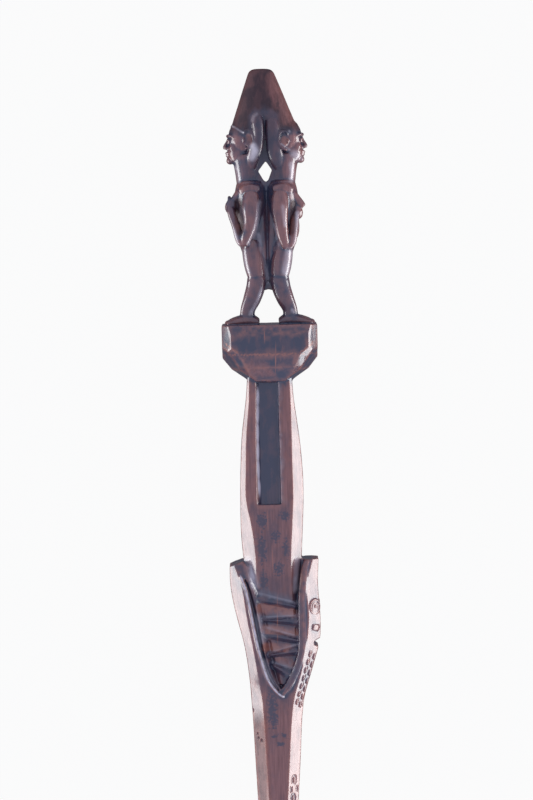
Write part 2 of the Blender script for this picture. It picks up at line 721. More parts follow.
# %% The lips
LIP_GROOVE = [(-18.6, -152), (-16.2, -158), (-12.9, -173), (-10.4, -188), (-8.2, -199.5), (-4.4, -211),
              (0.6, -219.6)]
LIP_GROOVE_WIDTHS = [1.6, 2.4, 3, 3, 2.8, 2.4, 1.6]
LEFT_LIP = [(-20.6, -150), (-17.6, -158.6), (-14.95, -172.6), (-12.3, -187.6), (-9.6, -199.7), (-5.7, -213),
            (0.1, -221), (3.6, -223.4)]
RIGHT_LIP = [(19.6, -141.6), (17.8, -148), (16.8, -155), (15.9, -164), (15.8, -173), (15.7, -184),
             (15, -195.5), (11.6, -207), (7.2, -216.4), (3, -221.8)]
RIGHT_LIP_WIDTHS = [4.6, 4.8, 4.8, 5, 5.2, 5.2, 4.8, 4.5, 4, 3]


def bead(name, path, widths, height, sink, depth):
    """A raised line that follows the face of the jaws."""
    places = [(x, y, depth * (level(y) - sink)) for x, y in path]
    return limb(name, places, [width / 2 for width in widths], [height] * len(path), sides=14, steps=60,
                bluntness=10)


def lips(depth):
    return [
        bead("left_lip", LEFT_LIP, [2.4] * len(LEFT_LIP), 1.3, 0.2, depth),
        bead("right_lip", RIGHT_LIP, RIGHT_LIP_WIDTHS, 1.9, 0.8, depth),
        bead("right_lip_crest", RIGHT_LIP, [0.8] * len(RIGHT_LIP), 0.55, -0.85, depth),
    ]


print("Right lip up to", max(RIGHT_LIP_WIDTHS), "mm wide")

# %% [markdown]
# The teeth lie across the mouth in a zigzag. Each is a ridge with a sharp crest, broad at one end and
# narrow at the other, and the next one is turned round. A limb with four sides has just that sharp crest.

# %% The teeth
TEETH = [
    ((-11.8, -163.2), (12.4, -168.8), (8, 4.6)), ((-8.4, -176.4), (13.2, -177.8), (2.6, 8.4)),
    ((-8, -184.4), (13, -189.4), (8.8, 5.2)), ((-5, -198), (13, -195.4), (3, 8.6)),
    ((-2.6, -204), (9.4, -211), (3, 11.6)),
]
TEETH_HEIGHT = 3.4
TEETH_SINK = 0.5


def teeth(depth):
    forms = []
    for *ends, broad in TEETH:
        levels = [row_at(UPPER_SHAFT, max(y, MOUTH_END)).depth - TEETH_SINK for x, y in ends]
        places = [(x, y, depth * z) for (x, y), z in zip(ends, levels)]
        forms.append(limb("tooth", places, [b / 2 for b in broad], [TEETH_HEIGHT] * 2, sides=4, steps=10,
                          bluntness=12))
    return forms


print(len(TEETH), "teeth on the front and as many on the back")

# %% [markdown]
# On the right bevel sit the crocodile's eye, in two rings, a small horn above the nick that ends its skull,
# and a double chain of scales. Further down the same bevel is carved with interlaced ovals all the way to
# the butt. The ovals are cut as small hollows, because the strands between them are what the knife left
# standing.

# %% Eye, horn and scales
EYE_AT = -169.4
EYE_RINGS = [(4.1, 0.62), (2.2, 0.5)]
SLANT = math.radians(45)


def on_right_bevel(x, y, depth, lift=0.0):
    row = row_at(LOWER_SHAFT, y)
    return Vector((x + lift * 0.7, y, depth * (row.depth - (x - row.face_right) + lift * 0.7)))


def eye(depth):
    row = row_at(LOWER_SHAFT, EYE_AT)
    centre = on_right_bevel((row.face_right + row.right) / 2 + 0.6, EYE_AT, depth)
    forms = [ball("pupil", centre, (1.1, 1.1, 0.9), 0, depth * SLANT)]
    for radius, thick in EYE_RINGS:
        sides = Vector((math.cos(SLANT), 0, -depth * math.sin(SLANT)))
        ring = [centre + sides * (radius * math.cos(a)) + Vector((0, radius * math.sin(a), 0))
                for a in np.linspace(0, 2 * math.pi, 17)]
        halves = [thick] * len(ring)
        forms.append(limb("eye_ring", ring, halves, halves, sides=10, steps=64, bluntness=200,
                          facing=Vector((1, 0, depth)).normalized()))
    return forms


def horn(depth):
    ends = [on_right_bevel(21.4, -181.5, depth), on_right_bevel(25.4, -182.6, depth)]
    return [limb("horn", ends, [2, 2.2], [0.9, 0.9], sides=12, steps=10, bluntness=3)]


SCALE_ROWS = [((20, -197), (11.6, -226)), ((22.4, -199), (13.4, -228))]
SCALES = 7


def scales(depth):
    forms = []
    for (x, y), (end_x, end_y) in SCALE_ROWS:
        for t in np.linspace(0, 1, SCALES):
            place = on_right_bevel(x + (end_x - x) * t, y + (end_y - y) * t, depth)
            forms.append(ball("scale", place, (1.1, 2.5, 0.6), -0.28, depth * SLANT))
    return forms


print(len(EYE_RINGS), "eye rings and", len(SCALE_ROWS) * SCALES, "scales on each side")

# %% [markdown]
# The interlace is a chain of ovals down the bevel with a seed left standing in each, and small hollows
# beside the crossings. Further up, the left bevel has a few pits, as it has on the real mace.

# %% The interlace and the pits
GUILLOCHE = {"from": -274.5, "to": -476, "pitch": 11.2}


def guilloche(depth):
    pits, seeds = [], []
    count = int((GUILLOCHE["from"] - GUILLOCHE["to"]) / GUILLOCHE["pitch"])
    for i in range(count):
        y = GUILLOCHE["from"] - i * GUILLOCHE["pitch"]
        row = row_at(LOWER_SHAFT, y)
        middle = (row.face_right + row.right) / 2
        over, under = on_right_bevel(middle, y, depth, 0.3), on_right_bevel(middle, y, depth, -0.5)
        pits.append(ball("oval", over, (2.2, 3.7, 1.2), 0, depth * SLANT))
        seeds.append(ball("seed", under, (1.1, 2.5, 0.9), 0, depth * SLANT))
        for step in (-1, 1):
            beside = on_right_bevel(middle + step * 1.75, y - GUILLOCHE["pitch"] / 2, depth, 0.2)
            pits.append(ball("corner", beside, (0.9, 2.6, 0.8), 0, depth * SLANT))
    return pits, seeds


def dent(x, y, size):
    row = row_at(LOWER_SHAFT, y)
    return ball("dent", (x, y, row.depth - (row.face_left - x)), (size, size * 1.3, 0.6), 0, -SLANT)


PITS = [(-15.2, -232, 0.8), (-12, -248.5, 0.7), (-10.4, -250, 0.9), (-12.6, -246, 0.6)]
dents = [dent(x, y, size) for x, y, size in PITS]
carving = [guilloche(depth) for depth in (1, -1)]
hollows = together("hollows", [pit for pits, seeds in carving for pit in pits] + dents)
seeds = [seed for pits, seeds in carving for seed in seeds]
print("Interlace of", len(seeds), "seeds, and", len(dents), "pits")

# %% [markdown]
# The jaws start as a bar, like the shaft. The mouth, the grooves beside the lips, the nick at the end of
# the skull, a slanting cut over the tip of the left jaw and all the small hollows are taken out of it, and
# the rest is laid on.

# %% The crocodile
NICK = [(30, -186.8), (22.6, -190.4), (22.4, -192.4), (30, -197)]
TIP_CUT = [(-40, -149), (-19, -141.6), (-16.4, -144.6), (-12, -144.6), (-12, -120), (-40, -120)]
nick = block("nick", NICK, -40, 40)
tip = block("tip", TIP_CUT, -40, 40)
lip_grooves = together("lip_grooves", [
    bead("lip_groove", LIP_GROOVE, LIP_GROOVE_WIDTHS, 2, 0.4, depth) for depth in (1, -1)
])
cuts = [mouth(1), mouth(-1), lip_grooves, nick, tip, hollows]
jaws = combined(bar("jaws", LOWER_SHAFT), cuts, "DIFFERENCE")
crocodile = [jaws, *seeds, *front_and_back(lips), *front_and_back(teeth), *front_and_back(eye),
             *front_and_back(horn), *front_and_back(scales)]
print("Crocodile from", len(crocodile), "forms")

# %% [markdown]
# To measure a shape, its corners are read into arrays. Evening out is the same act as a smoothing brush:
# each value moves to the mean of its neighbours, time after time.

# %% Reading and evening out a mesh
def arrays(mesh):
    places = np.empty(len(mesh.vertices) * 3, np.float32)
    mesh.vertices.foreach_get("co", places)
    normals = np.empty(len(mesh.vertices) * 3, np.float32)
    mesh.vertex_normals.foreach_get("vector", normals)
    edges = np.empty(len(mesh.edges) * 2, np.int32)
    mesh.edges.foreach_get("vertices", edges)
    return places.reshape(-1, 3).astype(float), normals.reshape(-1, 3).astype(float), edges.reshape(-1, 2)


def evened(values, edges, times):
    """Each value moves to the mean of its neighbours, so many times over."""
    count = np.bincount(edges.ravel(), minlength=len(values)).astype(float)
    for _ in range(times):
        total = np.stack([
            np.bincount(edges[:, 0], column[edges[:, 1]], len(values))
            + np.bincount(edges[:, 1], column[edges[:, 0]], len(values))
            for column in values.T
        ], axis=1)
        values = total / count[:, None]
    return values


print("Helpers for reading and evening out made")

# %% [markdown]
# All forms now overlap like lumps of clay. A voxel remesh gives them one closed skin and rounds every edge
# a little, as years of handling do. A smoothing takes the grid's small steps away.

# %% One skin
VOXEL = 0.42
SMOOTHING = 4
skin = shown("skin", together("clay", [figures, bowl, shaft, collar, *crocodile]))
remesh = skin.modifiers.new("skin", "REMESH")
remesh.mode, remesh.voxel_size, remesh.use_smooth_shade = "VOXEL", VOXEL, True
smooth = skin.modifiers.new("smooth", "SMOOTH")
smooth.factor, smooth.iterations = 0.5, SMOOTHING
dense = applied(skin)
places, normals, edges = arrays(dense)
print("Dense skin of", len(places), "corners")

# %% [markdown]
# Where the surface stands proud of its own evened shape it is an edge that hands have rubbed, and where it
# lies below, it is a hollow that holds old polish and dust. Both are measured on the even, dense mesh. Then
# a slow ripple is added for the marks of the knife, and a decimation brings the mesh under the limit for
# one piece. Each corner that is left takes over what was measured nearest to it.

# %% Ripples and the final mesh
FINE, BROAD = 12, 90
RIPPLES = [(0.1, 9.0), (0.04, 3.2)]
TRIANGLES = 190000
fine = ((places - evened(places, edges, FINE)) * normals).sum(1)
broad = ((places - evened(places, edges, BROAD)) * normals).sum(1)
ripple = np.zeros(len(places))
for amount, size in RIPPLES:
    ripple += amount * np.array([noise.noise(Vector(p) / size) for p in places * (1, 0.45, 1)])
moved = places + normals * ripple[:, None]
dense.vertices.foreach_set("co", moved.astype(np.float32).ravel())
nearest = kdtree.KDTree(len(places))
for i, p in enumerate(moved):
    nearest.insert(p, i)
nearest.balance()
skin = shown("skin", dense)
thin = skin.modifiers.new("thin", "DECIMATE")
thin.ratio = TRIANGLES / (2 * len(dense.polygons))
carving_mesh = applied(skin)
standing, normals, edges = arrays(carving_mesh)
matching = [nearest.find(p)[1] for p in standing]
fine, broad = fine[matching], broad[matching]
print("Final skin of", len(carving_mesh.polygons), "faces, ridges to", round(float(fine.max()), 2), "mm")

# %% [markdown]
# The measured edges become a map of wear and the measured dips a map of hollows, from 0 to 1. Hands reach
# some places less: the heads and the bodies keep most of their polish, and so does the inside of the mouth,
# while the bowl's edges are worn at every knock.

# %% Edges and hollows
EDGE_AT = 0.08
BOWL_EDGE_AT = 0.04
DIP_AT = 0.12
BROAD_DIP_AT = 0.6
across, height = standing[:, 0], standing[:, 1]


def rising(values, start, end):
    """0 where the values are at the start, 1 where they are at the end, and held at that outside."""
    return np.clip((values - start) / (end - start), 0, 1)


kept_dark = rising(height, 84, 88) * 0.4 + rising(height, 0, 4) * 0.5
in_mouth = rising(height, -160, -164) * rising(height, -219, -215) * rising(np.abs(across + 1), 17.5, 14.5)
on_bowl = rising(height, -36, -34) * rising(height, 0.5, -0.5)
worn_at = EDGE_AT + (BOWL_EDGE_AT - EDGE_AT) * on_bowl
edge_wear = rising(fine, 0, worn_at) * (1 - kept_dark) * (1 - 0.85 * in_mouth)
hollow = rising(fine, 0, -DIP_AT) * 0.5 + rising(broad, 0, -BROAD_DIP_AT)
hollow *= 1 - 0.75 * in_mouth
print("Worn on the mean", round(float(edge_wear.mean()), 3), "and hollow", round(float(hollow.mean()), 3))

# %% [markdown]
# Where the polish is dark, worn red, dull or rubbed pale is painted on the standing mace with a soft brush.
# A stroke follows a curve, seen from the front, and goes through to the back. It has a reach, an amount and
# limits of height.

# %% A soft brush
STROKE_STEPS = 30
LIMIT_FADE = 1.5


def painted(start, strokes, softness):
    """A map that starts even and takes stroke after stroke. Softness is the share of a reach that fades."""
    values = np.full(len(standing), start)
    for path, reach, amount, (low, high) in strokes:
        line = np.array(curve(path, STROKE_STEPS))
        far = np.sqrt(((standing[:, None, :2] - line[None]) ** 2).sum(2)).min(1)
        cover = np.clip((reach - far) / (softness * reach) + 0.5, 0, 1)
        cover *= cover * (3 - 2 * cover)
        cover *= rising(height, low, low + LIMIT_FADE) * rising(height, high, high - LIMIT_FADE)
        values += (amount - values) * cover
    return values


print("Brush that looks at", STROKE_STEPS, "places along a stroke")

# %% [markdown]
# Old polish is darkest where no hand rubs it off: on the bowl, the groove's floor, the mouth and lips, the
# hair and the cleft between the backs. The arms, cheeks and shaft are worn to the red wood.

# %% Where the polish is dark
ANYWHERE = (-500, 160)
DARK_STROKES = [
    ([(0, -260), (0, -480)], 30, 0.03, (-490, -228)),
    ([(-13, -232), (-11.2, -270), (-9.4, -340), (-8.8, -480)], 3.4, 0.5, (-490, -226)),
    ([(8.4, -36), (8.6, -104)], 3.6, 0.06, (-112, -34)),
    ([(-12, -36), (-12.6, -104)], 3.4, 0.1, (-112, -34)),
    ([(0, -3), (0, -4)], 60, 1, (-35, 0.5)),
    ([(-8, -25), (-3, -32)], 7, 0.45, (-34, -19)),
    ([(0, 26), (1, 60), (0, 90)], 9, 1, (20, 92)),
    ([(-9.4, 79), (-9.4, 66), (-13, 49)], 4.6, 0.45, (44, 84)),
    ([(8.6, 79), (8.4, 64), (11, 47)], 4.4, 0.3, (44, 84)),
    ([(-20, 73), (-19.4, 64), (-16.4, 55)], 4.2, 0.95, (50, 80)),
    ([(-16, 74), (-17, 60)], 3.6, 0.95, (50, 80)),
    ([(15.6, 72), (15, 56)], 2.4, 0.95, (48, 78)),
    ([(12, 40), (-12, 40)], 12, 0.72, (26, 47)),
    ([(-4, 44), (-3, 30)], 3, 0.35, (26, 47)),
    ([(5, 42), (5, 32)], 2.4, 0.45, (26, 47)),
    ([(10, 22), (13, 4)], 8, 0.9, (0, 28)),
    ([(-10, 22), (-13, 4)], 8, 0.75, (0, 28)),
    ([(12, 0), (-12, 0)], 20, 0.85, (0, 4)),
    ([(0, 128), (0, 152)], 30, 0.87, (112, 154)),
    ([(0, 128), (-5, 136), (-9, 124), (-13, 118)], 6, 1, (112, 154)),
    ([(5, 146), (10, 132), (14.5, 122)], 4.4, 0.5, (116, 154)),
    ([(0, 90), (0, 124)], 11, 0.95, (86, 129)),
    ([(-16, 96), (-12, 90)], 6, 0.7, (84, 99)),
    ([(12.4, 96), (14, 86)], 3, 0.3, (84, 98)),
    ([(11.6, 109.6), (11.4, 109)], 2.4, 0, (104, 114)),
    ([(18, 106), (19, 103)], 4, 0.2, (98, 112)),
    ([(-0.9, -30), (-0.9, -106)], 6.8, 0.95, (-108, -30)),
    ([(2, -166), (4, -212)], 14, 0.5, (-221, -160)),
    ([(-9, -169.4), (3, -171), (10, -172.4)], 3, 0, (-178, -164)),
    ([(-7, -182.4), (5, -183.6), (11.4, -185)], 2.6, 0, (-190, -178)),
    ([(-7, -193), (0, -193.6), (6.8, -194)], 2.6, 0.05, (-200, -189)),
    ([(1.2, -201), (8.6, -203.6)], 2.2, 0.1, (-208, -197)),
    *[([start, end], sum(broad) / 5.5, 0.95, (-222, -158)) for start, end, broad in TEETH],
    (RIGHT_LIP, 2.8, 0.9, (-230, -130)),
    (LIP_GROOVE, 1.6, 0.95, (-230, -150)),
    ([(-22, -146), (-14, -164)], 4.6, 0.9, (-168, -140)),
]
patina = painted(0.3, DARK_STROKES, 0.5)
print("Patina from", len(DARK_STROKES), "strokes, mean", round(float(patina.mean()), 2))

# %% [markdown]
# A few places are worn as red as an edge: the wood between the teeth, the ears and the right arm. Others
# have lost their gloss, so that they stay dark under the lights: the cap most of all, and the left bevel of
# the grip.

# %% Where the wood is red or dull
RED_STROKES = [
    ([(-9, -169.2), (3, -171), (9, -172.2)], 2.4, 2.4, (-178, -164)),
    ([(-7, -182.4), (5, -183.6), (11, -184.8)], 2.2, 2.4, (-190, -178)),
    ([(-7, -193), (0, -193.6), (6, -194)], 2.2, 2.4, (-200, -189)),
    ([(2, -201), (8, -203.2)], 1.8, 1.2, (-208, -197)),
    ([(11.6, 109.6), (11.4, 108)], 2, 1, ANYWHERE),
    ([(-9.6, 112), (-9.4, 108)], 1.8, 1, ANYWHERE),
    ([(5, 77), (5.4, 70)], 2.4, 0.8, ANYWHERE),
]
DULL_STROKES = [
    ([(0, 92), (0, 124)], 11, 0.35, (86, 129)),
    ([(-16.8, 73), (-16.6, 56)], 2.6, 1, ANYWHERE),
    ([(15.8, 72), (15.4, 54)], 1.8, 1, ANYWHERE),
    ([(15.2, -146), (13.4, -160)], 2, 0.6, ANYWHERE),
]
edge_wear = np.maximum(edge_wear, painted(0.0, RED_STROKES, 0.8))
beside_hair = np.abs(across + 0.5) / 4 - 1.5 + 3 * rising(height, 126, 130.5)
on_cap = rising(height, 112, 118) * np.clip(beside_hair, 0, 1)
low_left = rising(height, -228, -240) * rising(across, -6, -7.5)
dull = np.maximum(np.maximum(on_cap, 0.9 * low_left), painted(0.0, DULL_STROKES, 0.5))
print("Dull on the mean", round(float(dull.mean()), 2))

# %% [markdown]
# The most rubbed places are nearly as pale as bare, dusty wood: the nape of the left figure, a line down
# each arm and leg, the walls of the mouth. They are painted on the front only, because the back is plainer.

# %% Where the wood is rubbed pale
PALE_STROKES = [
    ([(13.2, -141), (12.6, -150), (11.8, -158)], 1.4, 0.8, ANYWHERE),
    ([(-15.4, -141), (-13.8, -149), (-12.4, -156)], 2, 0.85, ANYWHERE),
    ([(4.8, -35), (4.9, -80), (4.7, -106)], 0.9, 0.3, (-107, -34)),
    ([(-4.2, 73), (-5.6, 63), (-8.6, 53), (-11, 48.6)], 1.1, 0.8, ANYWHERE),
    ([(-14.6, 69), (-14.3, 61)], 1.3, 0.35, ANYWHERE),
    ([(-19.8, 57), (-18.4, 51), (-17, 46.6)], 1, 0.5, ANYWHERE),
    ([(-4.9, 53.4), (-3.9, 44.4), (-2.3, 37.2), (-0.8, 29.3), (-0.4, 25)], 1.1, 0.45, ANYWHERE),
    ([(-14, 44.5), (-13.4, 38), (-11.4, 31)], 1, 0.4, ANYWHERE),
    ([(-3.8, 21), (-7.6, 12), (-11.4, 6.7)], 1, 0.6, ANYWHERE),
    ([(9.6, 70), (10.9, 59)], 1.1, 0.5, ANYWHERE),
    ([(4.3, 59), (7, 47.5)], 1, 0.4, ANYWHERE),
    ([(18.2, 66), (17.6, 56), (16.2, 47.5)], 1.1, 0.5, ANYWHERE),
    ([(12.9, 43), (11.8, 37), (10.6, 31.6)], 2.2, 0.65, ANYWHERE),
    ([(14.4, 7.2), (14, 8)], 0.9, 0.6, ANYWHERE),
    ([(-7, 106), (-6.4, 103.6), (-8, 99.6)], 2, 0.9, ANYWHERE),
    ([(-7.2, 121.6), (-6.4, 124), (-4.6, 125.4)], 0.9, 0.4, ANYWHERE),
    ([(9.6, 107.2), (12, 105.4), (14.4, 103.6)], 0.5, 0.6, ANYWHERE),
    ([(14.6, 114.8), (14.9, 114)], 0.5, 0.4, ANYWHERE),
    ([(17, 101.6), (20, 99.4), (22.6, 98.4)], 2, 0.45, ANYWHERE),
    ([(15.2, 95), (16, 90), (15, 85.4)], 1.4, 0.5, ANYWHERE),
    ([(-18, 94), (-16.6, 89), (-16, 85.6)], 1, 0.5, ANYWHERE),
    ([(-19.4, 118.6), (-16.4, 116.8), (-12.8, 114.4)], 0.45, 0.5, ANYWHERE),
    ([(-10.4, -174), (-9.4, -182), (-8.2, -189)], 1.7, 0.45, ANYWHERE),
    ([(-7.6, -202), (-5.4, -210), (-1, -217)], 1.8, 0.45, ANYWHERE),
    *[([(start[0], start[1] + broad[0] * 0.42), (end[0], end[1] + broad[1] * 0.42)], 0.8, 0.35, ANYWHERE)
      for start, end, broad in TEETH],
]
pale_rub = painted(0.0, PALE_STROKES, 1.5) * rising(standing[:, 2], 0, 3)
print("Rubbed pale by", len(PALE_STROKES), "strokes, mean", round(float(pale_rub.mean()), 3))

# %% [markdown]
# The finished carving is laid down into the frame. What would sink into the ground is flattened on it,
# which gives the two flat spots that the mace rests on, and the butt is squared off at its end. The piece
# takes the place of the CAD solid, rides on the same body and carries the five maps for the material to
# read.

# %% Laying the mace down
low, high = cad_box
lying = standing @ np.array(LAID_DOWN.to_3x3()).T + np.array(LAID_DOWN.translation)
lying[:, 2] = np.maximum(lying[:, 2], 0)
lying = np.clip(lying, np.array(low), np.array(high))
carving_mesh.vertices.foreach_set("co", lying.astype(np.float32).ravel())
carving_mesh.shade_smooth()
MAPS = {"edge_wear": edge_wear, "hollow": hollow, "patina": patina, "dull": dull, "pale_rub": pale_rub}
for name, values in MAPS.items():
    layer = carving_mesh.attributes.new(name, "FLOAT", "POINT")
    layer.data.foreach_set("value", values.astype(np.float32))
carving_mesh.update()
mace = shown("carved_mace", carving_mesh)
print("The mace has", len(carving_mesh.polygons), "faces")

# %% [markdown]
# Stains, cracks and worn lines are soft spots at named places. A spot is needed many times, so it is a node
# group: a Mapping node puts the place at the group's origin, and the group turns the distance into a mask,
# which noise makes ragged.


# %% A group for stains
SPOT_ENDS = 1.15
SPOT_IS_FULL = 0.35


def spot_group():
    group = bpy.data.node_groups.new("stain_spot", "ShaderNodeTree")
    group.interface.new_socket("Place", in_out="INPUT", socket_type="NodeSocketVector")
    group.interface.new_socket("Ragged", in_out="INPUT", socket_type="NodeSocketFloat")
    group.interface.new_socket("Mask", in_out="OUTPUT", socket_type="NodeSocketFloat")
    nodes, links = group.nodes, group.links
    incoming, outgoing = nodes.new("NodeGroupInput"), nodes.new("NodeGroupOutput")
    far = nodes.new("ShaderNodeVectorMath")
    far.operation = "LENGTH"
    torn = nodes.new("ShaderNodeMath")
    torn.operation = "ADD"
    fade = nodes.new("ShaderNodeMapRange")
    fade.interpolation_type = "SMOOTHSTEP"
    fade.inputs["From Min"].default_value = SPOT_ENDS
    fade.inputs["From Max"].default_value = SPOT_IS_FULL
    links.new(incoming.outputs["Place"], far.inputs[0])
    links.new(far.outputs["Value"], torn.inputs[0])
    links.new(incoming.outputs["Ragged"], torn.inputs[1])
    links.new(torn.outputs[0], fade.inputs["Value"])
    links.new(fade.outputs[0], outgoing.inputs["Mask"])
    return group


stain_spot = spot_group()
print("Group", stain_spot.name, "made")

# %% [markdown]
# Each stain and crack has a place on the front, a half size or half length, and a turn. The stains darken
# the cap, the shaft above the jaws and the face below them. The cracks are fine light lines along the
# grain. Worn lines run along the edges between the bowl's facets, and pale ones down the left edge of the
# groove and along the left lip.

# %% The marks
STAINS = [
    ((-3.6, 134), (4.6, 4.4), 0), ((-5.4, 130), (3, 3.4), 0.5), ((0.4, 136.5), (2.6, 3), -0.6),
    ((8, 131), (2, 3), 0), ((-7, -117), (4, 5.6), 0.15), ((-7.4, -134), (4, 11), 0.05),
    ((0.6, -126), (3.6, 5), 0.2), ((7.4, -134), (3, 7), 0), ((6.8, -114), (5.4, 3.6), 0.3),
    ((-7, -154), (3.4, 8), 0), ((2, -146), (4, 5), 0), ((-3.6, -229), (3.6, 13), -0.05),
    ((-2.6, -236), (2.6, 8), 0.05), ((-2.3, -247), (2.6, 1.4), 0.5), ((3.7, -247), (2.6, 1.3), -0.6),
    ((1, -252), (3, 1.6), 0),
]
CRACK_HALF = 0.45
CRACKS = [
    ((-3.6, -117), (CRACK_HALF, 9), 0.0), ((-1.3, -141), (CRACK_HALF, 10), 0.02),
    ((0.8, -177), (CRACK_HALF, 18), -0.02), ((-3, -6.6), (CRACK_HALF, 5.4), 0.02),
    ((3.3, -20), (CRACK_HALF, 11), -0.03),
]
BOWL_EDGE = [(-25.4, -11.4), (-17.5, -17.7), (17.5, -17.7), (25.4, -11.4)]
GROOVE_EDGE = [(-7.8, -39), (-8, -48), (-8.3, -59), (-8.5, -70), (-8.6, -81), (-8.4, -92), (-8.1, -101)]
print(len(STAINS), "stains and", len(CRACKS), "cracks")

# %% [markdown]
# The material is put together from a few kinds of node: a stretched noise as a mask, a sum, a map from the
# mesh and a mix of two colours. Small helpers make each of them, so that the mix itself stays easy to read.

# %% Helpers for the material
wood = bpy.data.materials.new("old_polished_wood")
wood.use_nodes = True
nodes, links = wood.node_tree.nodes, wood.node_tree.links
shader = nodes["Principled BSDF"]
where = nodes.new("ShaderNodeTexCoord").outputs["Object"]


def noise_mask(scale, stretch=(1, 1, 1), detail=4.0, low=0.4, high=0.6):
    mapping = nodes.new("ShaderNodeMapping")
    mapping.inputs["Scale"].default_value = stretch
    links.new(where, mapping.inputs["Vector"])
    texture = nodes.new("ShaderNodeTexNoise")
    texture.inputs["Scale"].default_value = scale
    texture.inputs["Detail"].default_value = detail
    links.new(mapping.outputs[0], texture.inputs["Vector"])
    spread = nodes.new("ShaderNodeMapRange")
    spread.inputs["From Min"].default_value = low
    spread.inputs["From Max"].default_value = high
    links.new(texture.outputs["Fac"], spread.inputs["Value"])
    return spread.outputs[0]


def maths(operation, *values):
    node = nodes.new("ShaderNodeMath")
    node.operation = operation
    node.use_clamp = operation in ("ADD", "MULTIPLY_ADD")
    for socket, value in zip(node.inputs, values):
        if isinstance(value, (int, float)):
            socket.default_value = value
        else:
            links.new(value, socket)
    return node.outputs[0]


def times(mask, amount):
    return maths("MULTIPLY", mask, amount)


def strongest(*masks):
    """The greatest of several masks at each place."""
    whole = masks[0]
    for mask in masks[1:]:
        whole = maths("MAXIMUM", whole, mask)
    return whole


def attribute(name):
    node = nodes.new("ShaderNodeAttribute")
    node.attribute_name = name
    return node.outputs["Fac"]


def mixed(factor, first, second):
    node = nodes.new("ShaderNodeMix")
    node.data_type = "RGBA"
    links.new(factor, node.inputs["Factor"])
    for socket, value in ((node.inputs[6], first), (node.inputs[7], second)):
        if isinstance(value, tuple):
            socket.default_value = value
        else:
            links.new(value, socket)
    return node.outputs[2]


print("Material", wood.name, "begun")

# %% [markdown]
# A mark becomes a Mapping node in front of the group for spots, and the strongest of all of them counts. A
# line is a row of long thin marks that overlap, so it stays crisp where the corners of the mesh lie far
# apart.

# %% The masks
MARK_DEPTH = 50
RAGGEDNESS = 2.8
FACE_TOP = -160
BOWL_FOOT = -30
LINE_OVERLAP = 0.8
ragged = times(maths("SUBTRACT", noise_mask(760, detail=6.0, low=0.0, high=1.0), 0.5), RAGGEDNESS)


def marked(marks, torn):
    """One mask for a list of marks, which fade towards the back."""
    whole = 0.0
    for (x, y), (wide, tall), turn in marks:
        row = row_at(LOWER_SHAFT if y < FACE_TOP else UPPER_SHAFT, min(y, BOWL_FOOT))
        spot = LAID_DOWN @ Vector((x, y, row.depth))
        mapping = nodes.new("ShaderNodeMapping")
        mapping.vector_type = "TEXTURE"
        mapping.inputs["Location"].default_value = spot
        mapping.inputs["Rotation"].default_value = (0, 0, turn)
        mapping.inputs["Scale"].default_value = (wide * MM, tall * MM, MARK_DEPTH * MM)
        links.new(where, mapping.inputs["Vector"])
        mask = nodes.new("ShaderNodeGroup")
        mask.node_tree = stain_spot
        links.new(mapping.outputs[0], mask.inputs["Place"])
        if torn:
            links.new(torn, mask.inputs["Ragged"])
        whole = strongest(whole, mask.outputs[0])
    return whole


def traced(path, half):
    """Long thin marks that follow a line from place to place."""
    marks = []
    for (ax, ay), (bx, by) in zip(path, path[1:]):
        middle = ((ax + bx) / 2, (ay + by) / 2)
        reach = LINE_OVERLAP * math.hypot(bx - ax, by - ay)
        marks.append((middle, (half, reach), math.atan2(ax - bx, by - ay)))
    return marks


stained = marked(STAINS, ragged)
cracked = marked(CRACKS, None)
worn_lines = marked(traced(BOWL_EDGE, 1), ragged)
pale_lines = marked(traced(curve(LEFT_LIP, 15), 0.7) + traced(GROOVE_EDGE, 1.1), None)
clouds = noise_mask(160, (1, 0.5, 1), 5.0, 0.42, 0.62)
grain = noise_mask(900, (1, 0.06, 1), 4.0, 0.35, 0.65)
print("Masks made with", len(nodes), "nodes")

# %% [markdown]
# The wood is red-brown under a dark, slightly blue polish. The mix goes from the worn wood to the old
# polish by the patina map, the hollows, the stains and the clouds, rubs the edges back to a lighter red,
# and leaves the palest places last.

# %% The wood
WORN_WOOD = (0.25, 0.095, 0.085, 1)
RED_WOOD = (0.165, 0.052, 0.046, 1)
OLD_POLISH = (0.022, 0.026, 0.058, 1)
DULL_POLISH = (0.032, 0.012, 0.018, 1)
PALE_WOOD = (0.6, 0.54, 0.58, 1)
RUBBED_EDGE = (0.3, 0.11, 0.08, 1)
HOLLOWS_DARKEN = 0.55
CLOUDS_DARKEN = 0.35
STAINS_DARKEN = 0.85
EDGES_SHOW = 0.6
CRACKS_SHOW = 0.8
LINES_SHOW = 0.9
PALE_LINES_SHOW = 0.95
dark = maths("ADD", attribute("patina"), times(attribute("hollow"), HOLLOWS_DARKEN))
dark = maths("ADD", dark, times(maths("SUBTRACT", clouds, 0.5), CLOUDS_DARKEN))
dark = strongest(dark, times(stained, STAINS_DARKEN))
rubbed = times(attribute("edge_wear"), noise_mask(240, low=0.3, high=0.6))
worn = strongest(times(rubbed, EDGES_SHOW), times(cracked, CRACKS_SHOW), times(worn_lines, LINES_SHOW))
pale = times(attribute("pale_rub"), maths("MULTIPLY_ADD", clouds, 0.45, 0.55))
pale = strongest(pale, times(pale_lines, PALE_LINES_SHOW))
matt = attribute("dull")
base = mixed(dark, mixed(grain, RED_WOOD, WORN_WOOD), mixed(matt, OLD_POLISH, DULL_POLISH))
base = mixed(worn, base, RUBBED_EDGE)
base = mixed(pale, base, PALE_WOOD)
links.new(base, shader.inputs["Base Color"])
print("Colours mixed with", len(nodes), "nodes")

